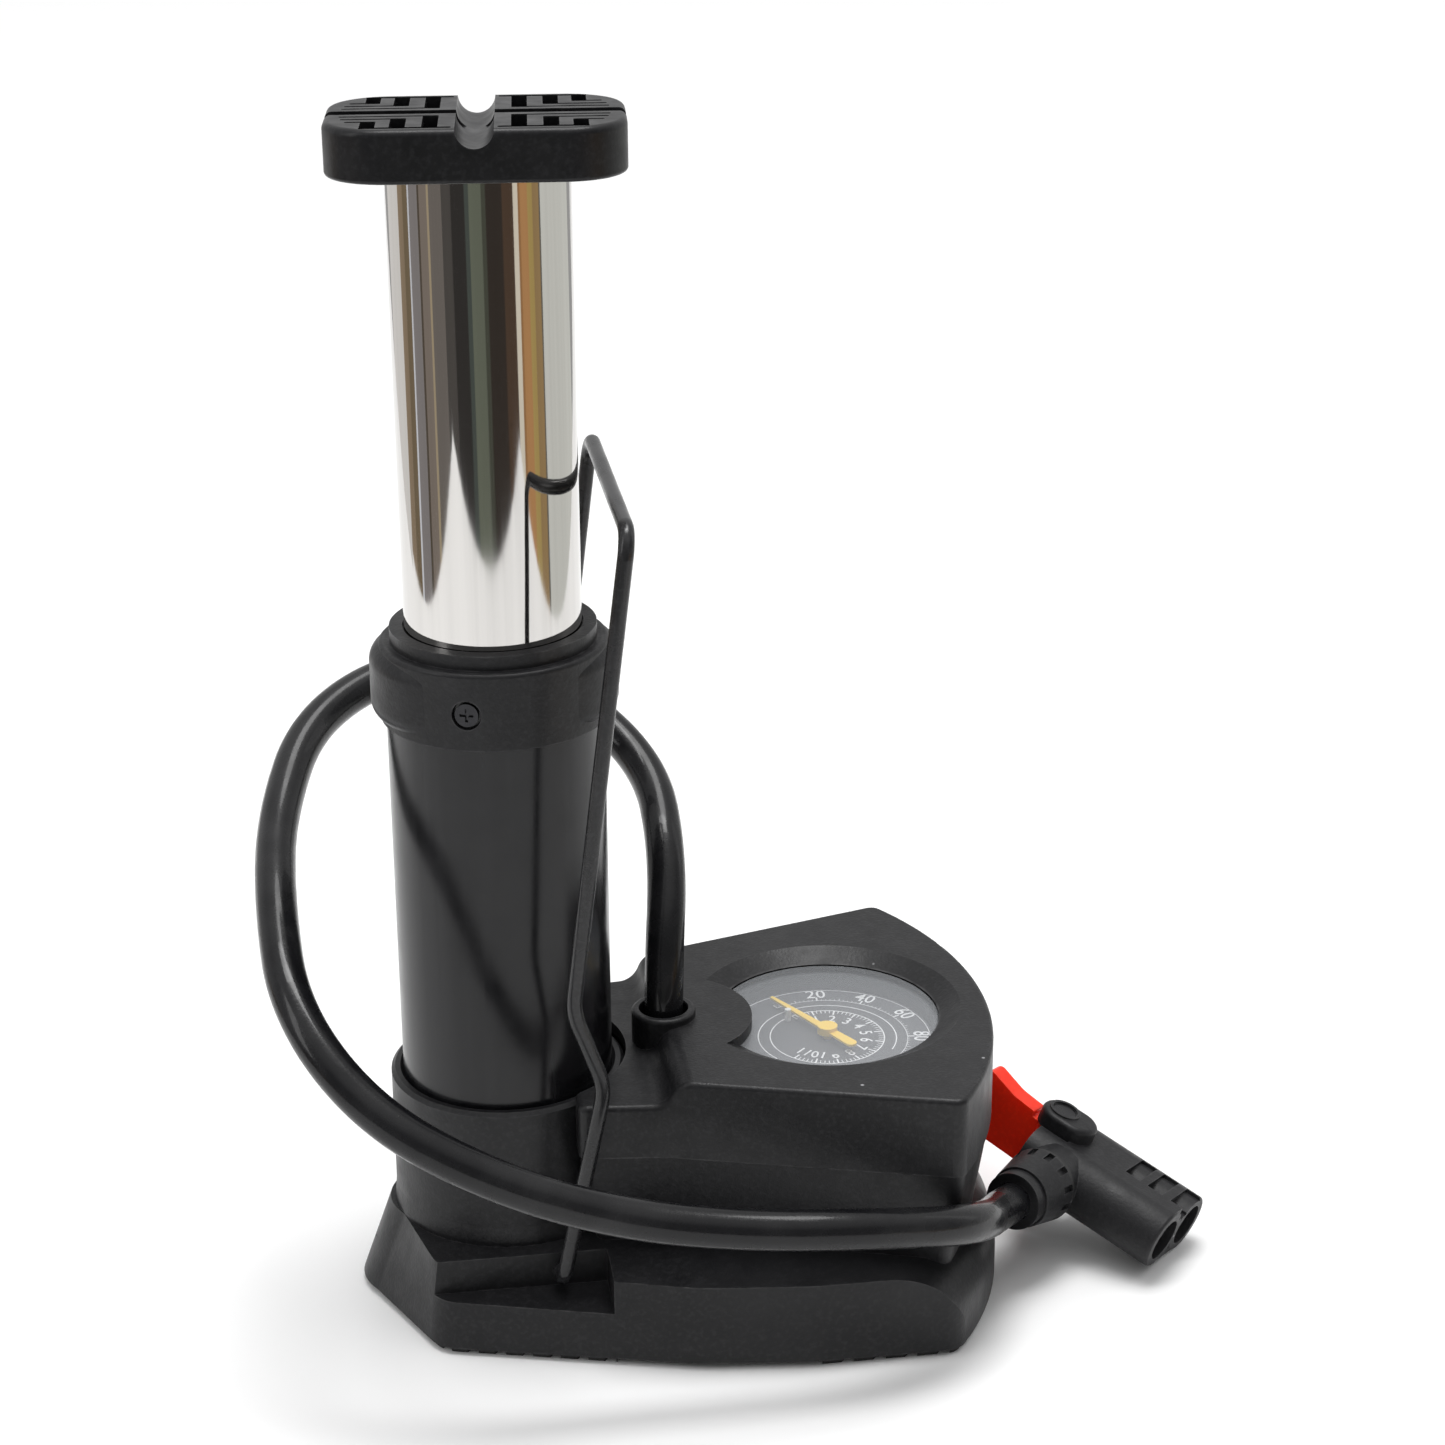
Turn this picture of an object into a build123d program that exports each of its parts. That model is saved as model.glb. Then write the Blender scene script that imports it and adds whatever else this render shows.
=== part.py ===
from build123d import *
import os
from math import atan2, cos, degrees, pi, radians, sin, sqrt, tan

# Mini foot-operated bike pump: an upright cylinder in a foot with a pressure gauge, a plunger with a
# pedal, a wire bail, and a hose that ends in a two-mouth valve head.
# Millimetres, +Z up. The model is drawn about the cylinder's axis, with the gauge towards +X, and is
# moved at the end so that its origin is under the middle of the foot.

# Driving dimensions
SOLE = 1.5                     # thickness of the rubber soles
FLANGE_TOP = 19.6              # top of the foot's flange
WAIST_TOP = 41.0               # seam between the base and the housing cover
DECK_LOW = 53.0                # cover's deck beside the cylinder
DECK_HIGH = 58.7               # cover's deck round the gauge
WALL = 2.5                     # wall of the moulded base and cover
END_X = -33.0                  # end of the foot away from the gauge
NOSE_CENTRE_X = 22.8           # centre of the round nose of the foot
NOSE_R = 83.0
NOSE_ROUND = 12.0              # rounding of the nose's upper edge
FLANGE_HALF = 50.3             # widest half width of the foot
COVER_NOSE_CENTRE_X = 18.5
COVER_NOSE_R = 85.5

TUBE_R = 22.3                  # cylinder, outside and inside
BORE_R = 20.5
TUBE_LOW = 12.0
TUBE_TOP = 147.0
SOCKET_R = 24.9                # socket of the base round the cylinder
SOCKET_TOP = 50.9
END_CAP_TOP = 18.0

COLLAR_LOW = 131.0
COLLAR_TOP = 147.1
COLLAR_R = 23.4
LIP_R = 21.0
LIP_TOP = 150.1
COLLAR_REACH = 25.3            # reach of the collar's side bulges
COLLAR_SCREW_Z = 138.5
COLLAR_SCREW_AZIMUTH = -108.3  # degrees from +X

PLUNGER_R = 18.0
PLUNGER_BORE_R = 16.8
PISTON_LOW = 119.5
PISTON_TOP = 129.0
SPRING_TOP = 116.5
RUN = 0.05                     # running clearance of a shaft in its hole, radial
FREE = 0.3                     # gap between curved faces that only pass each other

PEDAL_LOW = 242.65
PEDAL_TOP = 252.8
PEDAL_HALF_X = 28.7
PEDAL_HALF_Y = 19.4
PEDAL_CORNER_R = 12.0
PEDAL_TURN = -4.8              # the pedal's rest angle about the plunger
NOTCH_R = 3.65                 # groove across the pedal for the bail

BAIL_WIRE = 3.2                # wire diameter
BAIL_HALF = 34.0               # the legs stand this far from the middle plane
BAIL_PIVOT = (7.7, 15.5)       # X and Z of the pivot axis
BAIL_END = 24.8                # the bent-in ends stop this far from the middle plane

GAUGE_X = 69.5
GAUGE_CASE_R = 25.0
GAUGE_CASE_TOP = 54.2
WINDOW_R = 23.7
WINDOW_RIM_R = 28.8
LENS_R = 24.2
LENS_TOP = 56.0
DIAL_TOP = 50.5
NEEDLE_Z = 52.0
NEEDLE_ANGLE = 119.0           # degrees from +X at rest
NEEDLE_TIP = 19.6
NEEDLE_TAIL = 8.0

BOSS_X = 33.7                  # hose outlet in the cover
BOSS_R = 6.9
BOSS_HOLE_R = 5.2
BOSS_TOP = 60.5
LOBE_R = 19.0                  # the deck stays whole this far round the outlet
BARB_TOP = 46.0

HOSE_D = 8.4
HEAD_AT = (143.5, -21.5, 7.5)  # middle between the two mouths of the valve head
HEAD_YAW = -44.5
HEAD_DIP = 17.3                # the mouths point down by this much
HEAD_ROLL = -9.3
BARREL_R = 6.9
BARREL_HALF = 5.7              # half the distance between the two barrels
LEVER_X = -34.2                # lever pin and hose port, measured back from the mouths
PORT_X = -27.6

ORIGIN_X = (END_X + NOSE_CENTRE_X + NOSE_R) / 2

MIN3 = (Align.MIN, Align.MIN, Align.MIN)
STAND = (Align.CENTER, Align.CENTER, Align.MIN)


# Basic solids
def disc(radius, low, high, x=0.0, y=0.0):
    """Upright cylinder from low to high."""
    return Pos(x, y, low) * Cylinder(radius, high - low, align=STAND)


def ring(outer, inner, low, high, x=0.0, y=0.0):
    """Upright tube from low to high."""
    return disc(outer, low, high, x, y) - disc(inner, low - 1, high + 1, x, y)


def block(x0, x1, y0, y1, z0, z1):
    """Box between two corners."""
    return Pos(x0, y0, z0) * Box(x1 - x0, y1 - y0, z1 - z0, align=MIN3)


def prism(face, low, high):
    """A flat outline made solid from low to high."""
    return extrude(Pos(0, 0, low) * face, high - low)


def turned(points, x=0.0, y=0.0):
    """Solid of revolution about an upright axis, from (radius, z) corners."""
    face = make_face(Polyline(*[(r, 0, z) for r, z in points], close=True))
    return Pos(x, y, 0) * revolve(face, Axis.Z)


def torus_ring(radius, wire_r, z):
    """O-ring of round section lying level at height z."""
    return Pos(0, 0, z) * Torus(radius, wire_r)


def rod(radius, start, end):
    """Round rod between two points."""
    line = Line(start, end)
    return sweep(Plane(origin=line @ 0, z_dir=line % 0) * Circle(radius), path=line)


def at_corners(face, corners):
    """Rounds the corners of an outline: pairs of (x, radius)."""
    for x, radius in corners:
        here = [v for v in face.vertices() if abs(v.X - x) < 0.05]
        face = fillet(here, radius)
    return face


def joined(solids):
    """Several separate solids as one shape."""
    return Compound([part for item in solids for part in item.solids()])


# Outlines of the moulded shells
def symmetric_face(side, end_mid, nose_centre, nose_r):
    """Outline from one side's points; the end is an arc or straight, the nose is an arc."""
    mirrored = [(x, -y) for x, y in side]
    lines = Polyline(*side) + Polyline(*mirrored)
    lines += ThreePointArc(side[-1], (nose_centre + nose_r, 0), mirrored[-1])
    if end_mid is None:
        lines += Line(side[0], mirrored[0])
    else:
        lines += ThreePointArc(side[0], end_mid, mirrored[0])
    return make_face(lines)


def foot_face(end_x, shoulder, inset=0.0):
    """Outline of the foot's flange; end_x and shoulder place its leaning end."""
    end_corner_x = end_x + 2.5
    nose_corner_x = NOSE_CENTRE_X + sqrt(NOSE_R ** 2 - FLANGE_HALF ** 2)
    side = [(end_corner_x, 8.0), shoulder, (35.0, 47.5), (58.0, 50.2), (nose_corner_x, FLANGE_HALF)]
    face = symmetric_face(side, (end_x, 0), NOSE_CENTRE_X, NOSE_R)
    face = at_corners(face, [(nose_corner_x, 5.0), (35.0, 40.0), (shoulder[0], 8.0), (end_corner_x, 6.0)])
    return offset(face, -inset) if inset else face


def cover_face(inset=0.0, corner_r=3.0):
    """Outline of the housing cover and, drawn in, of the waist below it."""
    half = 48.2
    nose_corner_x = COVER_NOSE_CENTRE_X + sqrt(COVER_NOSE_R ** 2 - half ** 2)
    side = [(12.3, 28.3), (30.0, 30.3), (nose_corner_x, half)]
    face = symmetric_face(side, None, COVER_NOSE_CENTRE_X, COVER_NOSE_R)
    if inset:
        face = offset(face, -inset, kind=Kind.INTERSECTION)
    corners = sorted({round(v.X, 3) for v in face.vertices()})
    return at_corners(face, [(corners[1], 30.0), (corners[-1], corner_r), (corners[0], min(corner_r, 2.0))])


def deck_profile(low, high, shift):
    """What lies under the cover's deck, seen from the side: low, an S-curve, then high."""
    start, end = 27.5 + shift, 36.0 + shift
    middle = ((start + end) / 2, (low + high) / 2)
    lines = Polyline((end, high), (120, high), (120, 0), (0, 0), (0, low), (start, low))
    lines += TangentArc((start, low), middle, tangent=(1, 0))
    lines += TangentArc((end, high), middle, tangent=(-1, 0))
    return extrude(Plane.XZ * make_face(lines), 70, both=True)


# The foot
COVER_POSTS = [(82.0, 36.5), (82.0, -36.5), (40.0, 24.0), (40.0, -24.0)]
PLATE_POSTS = [(-26.0, 0.0), (98.5, 0.0), (50.0, 42.0), (50.0, -42.0)]
CAVITY_LOW_TOP = 9.5           # room for the air manifold
CAVITY_X = 20.0                # beyond this the foot is hollow up to its deck
PLATE_TOP = 4.0
POST_TOP = 29.8
POST_R = 4.0
POCKET_FLOOR = 12.0
POCKET_BACK = 29.0


def rounded_nose(inset=0.0):
    """Everything inside the foot's nose, whose upper edge is rounded."""
    radius, top, round_r = NOSE_R - inset, FLANGE_TOP - inset, NOSE_ROUND - inset
    middle = (radius - round_r * (1 - cos(radians(45))), 0, top - round_r * (1 - cos(radians(45))))
    lines = Polyline((radius, 0, top - round_r), (radius, 0, -5), (0, 0, -5), (0, 0, top), (radius - round_r, 0, top))
    lines += ThreePointArc((radius - round_r, 0, top), middle, (radius, 0, top - round_r))
    return Pos(NOSE_CENTRE_X, 0, 0) * revolve(make_face(lines), Axis.Z)


def base_body():
    """Foot flange, waist and cylinder socket in one moulding, open below and above."""
    bottom = Pos(0, 0, SOLE) * foot_face(END_X, (-18.5, 33.0))
    top = Pos(0, 0, FLANGE_TOP) * foot_face(-26.4, (-17.9, 31.0))
    body = loft([bottom, top], ruled=True) & rounded_nose()
    waist_low = Pos(0, 0, FLANGE_TOP - 2.0) * cover_face(4.0)
    waist_top = Pos(0, 0, WAIST_TOP) * cover_face(0.3)
    body += loft([waist_low, waist_top], ruled=True)
    body += turned([(0, CAVITY_LOW_TOP), (25.2, CAVITY_LOW_TOP), (25.2, 20.5), (SOCKET_R, 24.0),
                    (SOCKET_R, SOCKET_TOP - 0.8), (SOCKET_R - 0.8, SOCKET_TOP), (0, SOCKET_TOP)])
    inner_low = Pos(0, 0, FLANGE_TOP - WALL - 0.5) * cover_face(4.0 + WALL, 1.5)
    inner_top = Pos(0, 0, WAIST_TOP + 0.1) * cover_face(0.3 + WALL, 1.5)
    upper_cavity = loft([inner_low, inner_top], ruled=True)
    lower = prism(foot_face(END_X, (-18.5, 33.0), WALL), SOLE - 1, PLATE_TOP + 0.2)
    lower += prism(foot_face(END_X + 4.0, (-18.5, 33.0), WALL), PLATE_TOP, CAVITY_LOW_TOP)
    deep = prism(foot_face(END_X, (-18.5, 33.0), WALL), CAVITY_LOW_TOP - 1, FLANGE_TOP - WALL + 0.1)
    deep &= block(CAVITY_X, 120, -60, 60, 0, 30) & rounded_nose(WALL)
    socket = disc(SOCKET_R, 0, 60)
    body -= (upper_cavity - socket) + (deep - socket) + lower
    for x, y in COVER_POSTS:
        body += disc(POST_R, CAVITY_LOW_TOP, POST_TOP, x, y) & block(0, 120, -60, 60, 0, 40)
        body -= disc(1.6, 0, 60, x, y) + disc(3.3, 0, 26.0, x, y)
    for x, y in PLATE_POSTS:
        post = disc(POST_R, PLATE_TOP + 0.2, CAVITY_LOW_TOP + 0.5 if x < 0 else 18.0, x, y)
        body += post & rounded_nose(1.0)
        body -= disc(1.2, 0, 9.0 if x < 0 else 14.0, x, y)
    body -= disc(TUBE_R + RUN, TUBE_LOW, 60)
    body -= turned([(0, SOCKET_TOP + 0.1), (23.1, SOCKET_TOP + 0.1), (TUBE_R + RUN, 50.2), (0, 50.2)])
    body -= disc(5.0, 5, TUBE_LOW + 1)
    for side in (-1, 1):
        pocket = block(-20.6, 17.5, POCKET_BACK, 70, POCKET_FLOOR, 30)
        body -= pocket if side > 0 else mirror(pocket, Plane.XZ)
        hole = rod(BAIL_WIRE / 2 + RUN, (BAIL_PIVOT[0], side * 24.3, BAIL_PIVOT[1]),
                   (BAIL_PIVOT[0], side * 31.0, BAIL_PIVOT[1]))
        body -= hole
    return body


def bottom_plate():
    """Closing plate under the foot, set inside the flange's wall."""
    plate = prism(foot_face(END_X, (-18.5, 33.0), WALL + 0.3), SOLE, PLATE_TOP)
    for x, y in PLATE_POSTS:
        plate -= disc(1.6, 0, 5, x, y) + disc(3.2, SOLE - 1, SOLE + 1.3, x, y)
    return plate


def screw(x, y, head_low, head_high, tip, head_r=3.0, shank_r=1.15):
    """Pan-head screw that points up, with a cross recess under its head."""
    body = disc(head_r, head_low, head_high, x, y) + disc(shank_r, head_high - 0.1, tip, x, y)
    for size in ((3.2, 0.7), (0.7, 3.2)):
        body -= Pos(x, y, head_low) * Box(size[0], size[1], 1.2)
    return body


def bottom_screws():
    """The four screws of the bottom plate."""
    tips = [8.5 if x < 0 else 13.5 for x, y in PLATE_POSTS]
    return joined([screw(x, y, SOLE + 0.2, SOLE + 1.3, tip) for (x, y), tip in zip(PLATE_POSTS, tips)])


def cover_screws():
    """The four screws that hold the housing cover, driven up through the base's posts."""
    return joined([screw(x, y, 24.2, 26.0, 41.0) for x, y in COVER_POSTS])


def sole_outline(x_low, x_high):
    """The part of the foot's outline between two X values, drawn in a little."""
    face = foot_face(END_X, (-18.5, 33.0), 1.2)
    return prism(face, 0, SOLE) & block(x_low, x_high, -60, 60, 0, SOLE)


def sole(x_low, x_high):
    """Rubber sole: a thin sheet with slanting flat-topped ribs under it."""
    sheet_low = 0.8
    pitch = 5.4
    rib = 3.3
    area = sole_outline(x_low, x_high)
    sheet = area & block(-60, 130, -60, 60, sheet_low, SOLE)
    count = int(150 / pitch)
    bars = [Pos(0, (i - count / 2) * pitch, 0) * Box(240, rib, sheet_low * 2 + 0.02) for i in range(count)]
    slanted = Pos((x_low + x_high) / 2, 0, 0) * Rot(0, 0, 53) * joined(bars)
    ribs = [area & block(-60, 130, -60, 60, 0, sheet_low + 0.01) & bar for bar in slanted.solids()]
    for piece in ribs:
        sheet += piece
    for x, y in PLATE_POSTS:
        sheet -= disc(3.4, -1, SOLE + 1, x, y)
    return sheet


# The air path below
MANIFOLD_LOW = 4.3
MANIFOLD_TOP = 9.2


def air_manifold():
    """Bar under the socket that carries air to the hose and to the gauge."""
    bar = block(-6.5, 76.5, -4.5, 4.5, MANIFOLD_LOW, MANIFOLD_TOP)
    bar += disc(4.9, MANIFOLD_LOW + 1, TUBE_LOW - 0.1)
    bar += disc(6.0, MANIFOLD_LOW + 1, 38.0, BOSS_X)
    bar += disc(6.0, MANIFOLD_LOW + 1, 24.0, GAUGE_X)
    bar -= rod(1.3, (-3.0, 0, 6.8), (72.0, 0, 6.8))
    bar -= disc(3.2, 5.5, 20)
    bar -= disc(1.3, 6.8, 40, BOSS_X) + disc(3.5, 28.0, 40, BOSS_X)
    bar -= disc(1.3, 6.8, 40, GAUGE_X) + disc(4.0, 16.0, 40, GAUGE_X)
    return bar


def hose_barb():
    """Brass fitting that carries the hose, with a hexagon and a screwed foot."""
    fitting = disc(3.45, 28.5, 38.1, BOSS_X)
    fitting += Pos(BOSS_X, 0, 38.05) * extrude(RegularPolygon(6.2, 6), 3.0)
    barb_r, neck_r, face = 4.1, 3.2, BARB_TOP - 0.02
    fitting += turned([(0, 41.0), (3.0, 41.0), (barb_r, 42.0), (neck_r, 43.6), (barb_r, 43.7),
                       (neck_r, 45.3), (barb_r, 45.4), (barb_r, face), (0, face)], BOSS_X)
    return fitting - disc(1.3, 20, 50, BOSS_X)


def hose_ferrule():
    """Crimped sleeve round the hose's lower end."""
    return ring(5.0, HOSE_D / 2 + 0.12, 42.2, 50.0, BOSS_X)


def cylinder_end_cap():
    """Bottom of the cylinder, with the seat of the check valve."""
    cap = disc(BORE_R - 0.1, TUBE_LOW, END_CAP_TOP)
    cap -= turned([(BORE_R - 1.6, 14.2), (BORE_R + 1, 14.2), (BORE_R + 1, 16.0), (BORE_R - 1.6, 16.0)])
    cap -= disc(3.2, 10, 16.0) + disc(1.8, 10, 20)
    return cap


def end_cap_oring():
    """O-ring in the end cap's groove."""
    return torus_ring(BORE_R - 0.85, 0.74, 15.1)


def check_valve_ball():
    """Ball that closes the way back into the cylinder."""
    return Pos(0, 0, 14.38) * Sphere(2.4)


def check_valve_spring():
    """Light spring under the ball."""
    wire = 0.22
    path = Pos(0, 0, 6.6) * Helix(pitch=1.0, height=4.8, radius=2.1)
    return sweep(Plane(origin=path @ 0, z_dir=path % 0) * Circle(wire), path=path)


def check_valve_retainer():
    """Drilled disc that the ball's spring stands on."""
    return ring(3.1, 1.5, 5.55, 6.3)


# The cylinder
def cylinder_tube():
    """Anodised cylinder, drilled for the collar's screws."""
    tube = ring(TUBE_R, BORE_R, TUBE_LOW + 0.05, TUBE_TOP)
    for azimuth in (COLLAR_SCREW_AZIMUTH, COLLAR_SCREW_AZIMUTH + 180):
        tube -= radial_rod(1.3, 15.0, 30.0, azimuth, COLLAR_SCREW_Z)
    return tube


def radial_rod(radius, start, end, azimuth, z):
    """Rod that points away from the cylinder's axis."""
    c, s = cos(radians(azimuth)), sin(radians(azimuth))
    return rod(radius, (start * c, start * s, z), (end * c, end * s, z))


def collar():
    """Cap ring of the cylinder: round body with two side bulges, and a lip round the plunger."""
    bulge_x = 4.65
    bulge_round = 4.0
    body = disc(COLLAR_R, COLLAR_LOW, COLLAR_TOP)
    body = fillet(body.edges().group_by(Axis.Z)[-1], 0.9)
    for side in (-1, 1):
        bulge = disc(COLLAR_REACH - bulge_x, COLLAR_LOW, COLLAR_TOP, side * bulge_x)
        body += fillet(bulge.edges().filter_by(GeomType.CIRCLE), bulge_round)
    body += disc(LIP_R, COLLAR_TOP - 0.1, LIP_TOP)
    body -= disc(TUBE_R + RUN, 0, TUBE_TOP + 0.05)
    body -= disc(PLUNGER_R + FREE, 0, 200)
    body -= disc(20.1, TUBE_TOP, 149.5)
    for azimuth in (COLLAR_SCREW_AZIMUTH, COLLAR_SCREW_AZIMUTH + 180):
        body -= radial_rod(3.0, 15.0, 30.0, azimuth, COLLAR_SCREW_Z)
    return body


def collar_screws():
    """Two cross-head screws that hold the collar and the guide bush to the cylinder."""
    screws = []
    for azimuth in (COLLAR_SCREW_AZIMUTH, COLLAR_SCREW_AZIMUTH + 180):
        body = radial_rod(2.4, TUBE_R + 0.08, 23.15, azimuth, COLLAR_SCREW_Z)
        body += radial_rod(1.2, 18.7, TUBE_R + 0.2, azimuth, COLLAR_SCREW_Z)
        recess = Pos(24.2, 0, 0) * (Box(3.2, 2.8, 0.6) + Box(3.2, 0.6, 2.8))
        body -= Pos(0, 0, COLLAR_SCREW_Z) * Rot(0, 0, azimuth) * recess
        screws.append(body)
    return joined(screws)


def guide_bush():
    """Bush that guides the plunger in the top of the cylinder."""
    bush = ring(BORE_R - RUN, PLUNGER_R + RUN, COLLAR_LOW, COLLAR_LOW + 15.0)
    for azimuth in (COLLAR_SCREW_AZIMUTH, COLLAR_SCREW_AZIMUTH + 180):
        bush -= radial_rod(1.25, 18.6, 30.0, azimuth, COLLAR_SCREW_Z)
    return bush


def wiper_ring():
    """Rubber wiper in the collar's lip."""
    return ring(20.0, PLUNGER_R + RUN, 147.1, 149.4)


# The plunger
def plunger_tube():
    """Chromed tube between the piston and the pedal."""
    tube = ring(PLUNGER_R, PLUNGER_BORE_R, 121.0, PEDAL_LOW + 1.9)
    return tube - rod(1.55, (-30, 0, 125.6), (30, 0, 125.6))


def piston():
    """Piston head: a cup round the foot of the plunger, with a seal groove."""
    body = disc(BORE_R - FREE, PISTON_LOW, PISTON_TOP)
    body -= ring(PLUNGER_R + 0.02, PLUNGER_BORE_R - 0.02, 120.95, 140)
    body -= disc(PLUNGER_BORE_R - 2.5, 122.0, 140)
    body -= ring(BORE_R + 1, BORE_R - 1.7, 121.4, 123.2)
    body -= rod(1.5, (-30, 0, 125.6), (30, 0, 125.6))
    return body


def piston_seal():
    """O-ring that seals the piston in the bore."""
    return torus_ring(BORE_R - 0.88, 0.8, 122.3)


def piston_pin():
    """Cross pins that lock the plunger to the piston."""
    pins = [rod(1.48, (side * 14.6, 0, 125.6), (side * 19.4, 0, 125.6)) for side in (-1, 1)]
    return joined(pins)


def spring_cap():
    """Plate under the piston that takes the return spring's thrust."""
    plate = disc(17.0, SPRING_TOP, PISTON_LOW - 0.1)
    return plate + disc(7.6, SPRING_TOP - 3.0, SPRING_TOP + 0.1)


def return_spring():
    """Conical return spring; its turns nest inside one another when it is pressed flat."""
    wire_r = 1.1
    wide_r, narrow_r = 18.6, 9.4
    turns = 4.0
    rise = SPRING_TOP - END_CAP_TOP - 2 * wire_r
    cone = degrees(atan2(wide_r - narrow_r, rise))
    path = Helix(pitch=rise / turns, height=rise, radius=wide_r, cone_angle=-cone)
    path = Pos(0, 0, END_CAP_TOP + wire_r) * path
    return sweep(Plane(origin=path @ 0, z_dir=path % 0) * Circle(wire_r), path=path)


# The pedal. Its tread is drawn in quarters: u runs along the pedal, v across it.
def pedal():
    """Foot pad with a boss that fits in the plunger, a tread, and a notch for the bail."""
    middle = PEDAL_TOP - PEDAL_LOW
    body = prism(RectangleRounded(2 * PEDAL_HALF_X, 2 * PEDAL_HALF_Y, PEDAL_CORNER_R), PEDAL_LOW, PEDAL_TOP)
    body = fillet(body.edges().group_by(Axis.Z)[-1], 1.4)
    body = fillet(body.edges().group_by(Axis.Z)[0], 0.8)
    groove_half = 1.9
    body -= block(-40, 40, -groove_half, groove_half, PEDAL_TOP - 3.2, PEDAL_TOP + 1)
    body -= Pos(0, 0, PEDAL_TOP) * Rot(90, 0, 0) * Cylinder(NOTCH_R, 60)
    body -= tread()
    body += disc(PLUNGER_BORE_R - 0.03, PEDAL_LOW - 12.0, PEDAL_LOW + 0.1)
    body -= ring(PLUNGER_R + RUN, PLUNGER_BORE_R - 0.03, PEDAL_LOW - 1, PEDAL_LOW + 1.95)
    body -= ring(13.5, 5.0, PEDAL_LOW - 13, PEDAL_LOW + middle * 0.3)
    body -= disc(1.6, PEDAL_LOW - 13, PEDAL_LOW + 3.0)
    return Rot(0, 0, PEDAL_TURN) * body


def tread():
    """The hollows of the tread: L-shaped grooves that widen into deep pockets."""
    bars = [(3.65, 6.8), (9.8, 12.8), (15.8, 18.4), (21.3, 25.0)]
    ribs_v = [(1.9, 3.8), (4.8, 6.6), (7.6, 9.6), (10.6, 15.8)]
    rim_v = 17.3
    groove_depth, pocket_depth, end_depth = 1.6, 5.2, 1.2
    ends_u = [25.6, 25.2, 24.3]
    cuts = []
    for k in range(3):
        u0, u1 = bars[k][1], bars[k + 1][0]
        v0, v1 = ribs_v[k][1], ribs_v[k + 1][0]
        cuts.append((u0, u1, v0, rim_v, pocket_depth))
        cuts.append((u0 + 0.1, ends_u[k], v0, v1, groove_depth))
    cuts.append((4.3, 21.4, 15.9, rim_v, end_depth))
    solid = None
    for u0, u1, v0, v1, depth in cuts:
        shape = RectangleRounded(u1 - u0, v1 - v0, min(0.45, (v1 - v0) * 0.4))
        cut = prism(Pos((u0 + u1) / 2, (v0 + v1) / 2) * shape, PEDAL_TOP - depth, PEDAL_TOP + 1)
        solid = cut if solid is None else solid + cut
    half = solid + mirror(solid, Plane.YZ)
    return half + mirror(half, Plane.XZ)


def pedal_insert():
    """Plate inside the plunger that the pedal is drawn down to."""
    return ring(PLUNGER_BORE_R - 0.03, 1.7, PEDAL_LOW - 15.0, PEDAL_LOW - 12.05)


def pedal_screw():
    """Screw that holds the pedal, driven from inside the plunger."""
    return screw(0, 0, PEDAL_LOW - 17.6, PEDAL_LOW - 15.05, PEDAL_LOW + 2.0, 3.4, 1.5)


# The bail
def bail_wire():
    """Bent wire loop over the plunger, with its ends turned in to the pivots."""
    px, pz = BAIL_PIVOT
    leg = [(px, pz), (17.3, 60.5), (11.2, 78.0), (24.0, 178.2)]
    near = [(px, -BAIL_END, pz)] + [(x, -BAIL_HALF, z) for x, z in leg]
    far = [(x, -y, z) for x, y, z in reversed(near)]
    bends = [3.2, 14.0, 14.0, 5.0]
    path = FilletPolyline(*near, *far, radius=bends + bends[::-1])
    return sweep(Plane(origin=path @ 0, z_dir=path % 0) * Circle(BAIL_WIRE / 2), path=path)


# The gauge
def gauge_case():
    """Cup that holds the gauge's works, on a stem that carries the air."""
    case = disc(GAUGE_CASE_R, 30.0, GAUGE_CASE_TOP, GAUGE_X)
    case -= disc(22.2, 32.0, 60, GAUGE_X) + disc(23.3, 50.0, 60, GAUGE_X)
    case += disc(3.95, 16.5, 31.0, GAUGE_X)
    return case - disc(1.0, 10, 34, GAUGE_X)


def gauge_dial():
    """Dial plate."""
    return ring(23.1, 1.3, 50.05, DIAL_TOP, GAUGE_X) - disc(0.72, 40, 60, *peg_place())


def peg_place():
    """The zero stop stands beside the resting needle."""
    angle = radians(NEEDLE_ANGLE + 9.0)
    return GAUGE_X + 11.6 * cos(angle), 11.6 * sin(angle)


def zero_stop():
    """White peg that the needle rests against."""
    x, y = peg_place()
    return disc(0.7, 48.5, 53.2, x, y)


def bourdon_tube():
    """Curved flat tube that straightens under pressure, with its socket block."""
    section = Pos(16.0, 0) * RectangleRounded(2.2, 6.0, 1.0) - Pos(16.0, 0) * RectangleRounded(1.4, 5.2, 0.6)
    tube = revolve(Plane.XZ * section, Axis.Z, 250)
    tube = Pos(GAUGE_X, 0, 41.0) * Rot(0, 0, 55) * tube
    start = radians(55)
    block_at = Pos(GAUGE_X + 15.6 * cos(start), 15.6 * sin(start), 37.6) * Rot(0, 0, 55)
    return tube + block_at * Box(5.0, 4.0, 11.0)


def gauge_movement():
    """Plates and pillars that carry the needle's spindle."""
    frame = None
    for z in (34.0, 45.5):
        plate = Pos(GAUGE_X, 0, z) * Box(18.0, 9.0, 1.2)
        frame = plate if frame is None else frame + plate
    for side in (-1, 1):
        frame += disc(1.3, 32.05, 46.0, GAUGE_X + side * 7.4)
    return frame - disc(0.85, 30, 50, GAUGE_X)


def needle_pinion():
    """Small gear on the needle's spindle, between the plates."""
    teeth = 12
    gear = disc(2.1, 38.5, 41.0)
    for i in range(teeth):
        gear += Rot(0, 0, i * 360 / teeth) * Pos(2.2, 0, 39.75) * Box(0.9, 0.55, 2.5)
    return Pos(GAUGE_X, 0, 0) * (gear - disc(0.8, 30, 50))


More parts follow.
